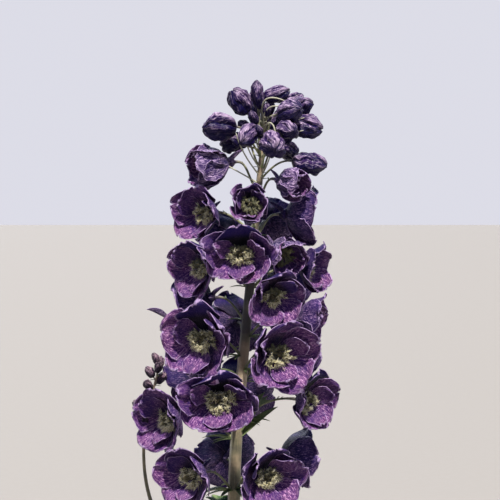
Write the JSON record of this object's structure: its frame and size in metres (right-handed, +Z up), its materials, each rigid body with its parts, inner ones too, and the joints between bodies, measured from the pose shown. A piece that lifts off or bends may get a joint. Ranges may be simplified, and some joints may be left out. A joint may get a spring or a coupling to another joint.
{
  "type": "potted delphinium plant",
  "caption": "Tall garden perennial in a plain clay pot: an upright spike of dark violet cupped flowers with cream centres, closed buds at the tip and lobed leaves below.",
  "frame": {"origin": "centre of the underside of the pot's foot", "axes": "+Z up along the stem, -Y towards the best side of the flower spike, +X to its right"},
  "size_m": [0.3821, 0.3965, 0.8565],
  "materials": {
    "clay": "matt unglazed",
    "soil": "rough",
    "leaf": "satin",
    "green_stem": "satin",
    "sepal": "velvety",
    "cream_centre": "matt",
    "bud": "satin"
  },
  "bodies": {
    "root": {"pot": "clay", "soil": "soil", "basal_leaves": "leaf", "stem": "green_stem", "bloom_01": "sepal", "bloom_02": "sepal", "bloom_03": "sepal", "bloom_04": "sepal", "bloom_05": "sepal", "bloom_06": "sepal", "bloom_07": "sepal", "bloom_08": "sepal", "bloom_09": "sepal", "bloom_10": "sepal", "bloom_11": "sepal", "bloom_12": "sepal", "bloom_13": "sepal", "bloom_14": "sepal", "bloom_15": "sepal", "bloom_16": "sepal", "bloom_17": "sepal", "bloom_18": "sepal", "bloom_19": "sepal", "bloom_20": "sepal", "bloom_21": "sepal", "bloom_22": "sepal", "bloom_23": "sepal", "bloom_24": "sepal", "bloom_25": "sepal", "bloom_26": "sepal", "bloom_27": "sepal", "bloom_28": "sepal", "bee_01": "cream_centre", "bee_02": "cream_centre", "bee_03": "cream_centre", "bee_04": "cream_centre", "bee_05": "cream_centre", "bee_06": "cream_centre", "bee_07": "cream_centre", "bee_08": "cream_centre", "bee_09": "cream_centre", "bee_10": "cream_centre", "bee_11": "cream_centre", "bee_12": "cream_centre", "bee_13": "cream_centre", "bee_14": "cream_centre", "bee_17": "cream_centre", "bee_18": "cream_centre", "bee_19": "cream_centre", "bee_20": "cream_centre", "bee_21": "cream_centre", "bee_22": "cream_centre", "bee_23": "cream_centre", "bee_24": "cream_centre", "bee_25": "cream_centre", "bee_26": "cream_centre", "bee_27": "cream_centre", "bee_28": "cream_centre", "bud_spray": "bud", "side_spike": "bud"}
  },
  "joints": []
}
